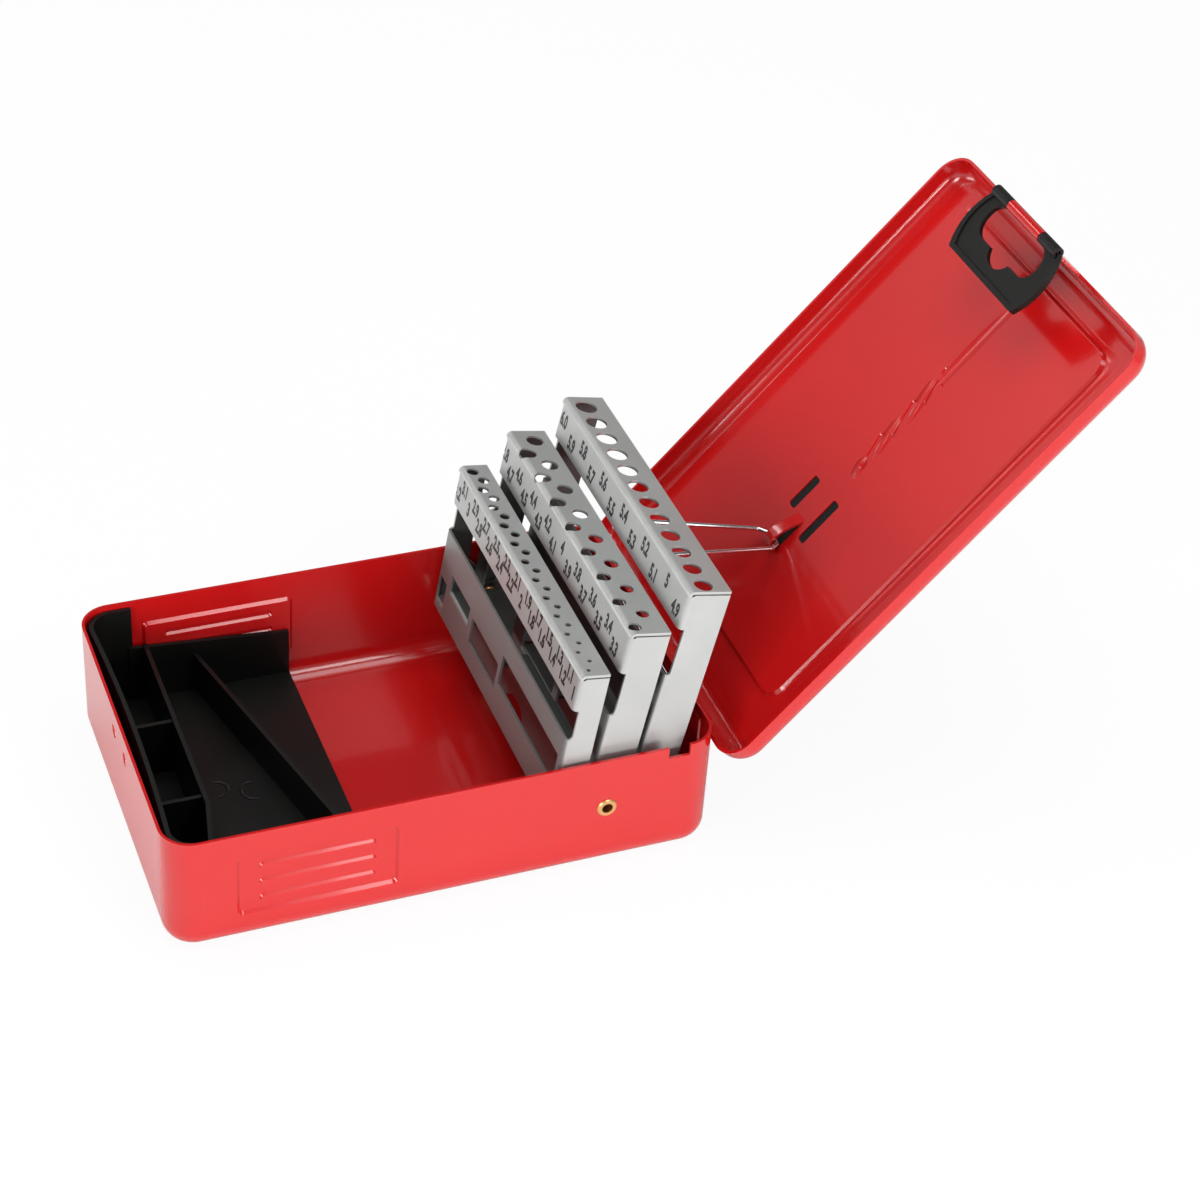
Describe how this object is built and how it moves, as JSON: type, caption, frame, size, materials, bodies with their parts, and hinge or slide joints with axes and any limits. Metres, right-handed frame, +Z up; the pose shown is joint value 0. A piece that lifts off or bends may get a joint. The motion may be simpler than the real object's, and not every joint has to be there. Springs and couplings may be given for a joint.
{
  "type": "drill bit case",
  "caption": "Folding sheet-metal case for twist drills: hinged lid, latch, tilting perforated racks that rise with the lid, and a moulded insert.",
  "frame": {"origin": "centre of the case's underside", "axes": "+Z up, the front with the catch dimples towards -Y, the hinge towards +Y, X across the case"},
  "size_m": [0.1068, 0.2585, 0.151],
  "materials": {
    "red_enamel": "gloss",
    "zinc_plate": "satin zinc plating",
    "pin_steel": "bright",
    "wire_steel": "bright",
    "brass": "polished",
    "insert_plastic": "satin moulded",
    "latch_plastic": "fine texture"
  },
  "bodies": {
    "base": {"base_shell": "red_enamel", "hinge_pin": "pin_steel", "pivot_eyelets": "brass", "insert_tray": "insert_plastic"},
    "lid": {"lid_shell": "red_enamel", "slot_cap": "insert_plastic", "latch_pin": "pin_steel"},
    "latch": {"latch": "latch_plastic"},
    "link": {"link_wire": "wire_steel"},
    "rack_small": {"rack_small": "zinc_plate"},
    "rack_medium": {"rack_medium": "zinc_plate"},
    "rack_large": {"rack_large": "zinc_plate"}
  },
  "joints": [
    {"name": "lid_hinge", "type": "hinge", "parent": "base", "child": "lid", "pos_m": [0, 0.0755, 0.03167], "axis": [1, 0, 0], "range_deg": [0, 132.8]},
    {"name": "rack_small_pivot", "type": "hinge", "parent": "base", "child": "rack_small", "pos_m": [0, 0.0431, 0.0206], "axis": [1, 0, 0], "range_deg": [0, 99.47]},
    {"name": "rack_medium_pivot", "type": "hinge", "parent": "base", "child": "rack_medium", "pos_m": [0, 0.0431, 0.0206], "axis": [1, 0, 0], "range_deg": [0, 101.37]},
    {"name": "rack_large_pivot", "type": "hinge", "parent": "base", "child": "rack_large", "pos_m": [0, 0.0431, 0.0206], "axis": [1, 0, 0], "range_deg": [0, 102.57]},
    {"name": "link_pivot", "type": "hinge", "parent": "lid", "child": "link", "pos_m": [0, 0.10929, 0.05899], "axis": [-1, 0, 0], "range_deg": [0, 118.79]},
    {"name": "latch_hinge", "type": "hinge", "parent": "lid", "child": "latch", "pos_m": [0, 0.17251, 0.14934], "axis": [-1, 0, 0], "range_deg": [0, 100.9]}
  ],
  "couplings": [
    {"joint": "rack_small_pivot", "follows": "lid_hinge", "ratio": 0.74827},
    {"joint": "rack_medium_pivot", "follows": "lid_hinge", "ratio": 0.76258},
    {"joint": "rack_large_pivot", "follows": "lid_hinge", "ratio": 0.77161},
    {"joint": "link_pivot", "follows": "lid_hinge", "ratio": 0.89375},
    {"joint": "latch_hinge", "follows": "lid_hinge", "ratio": 0.75904}
  ]
}
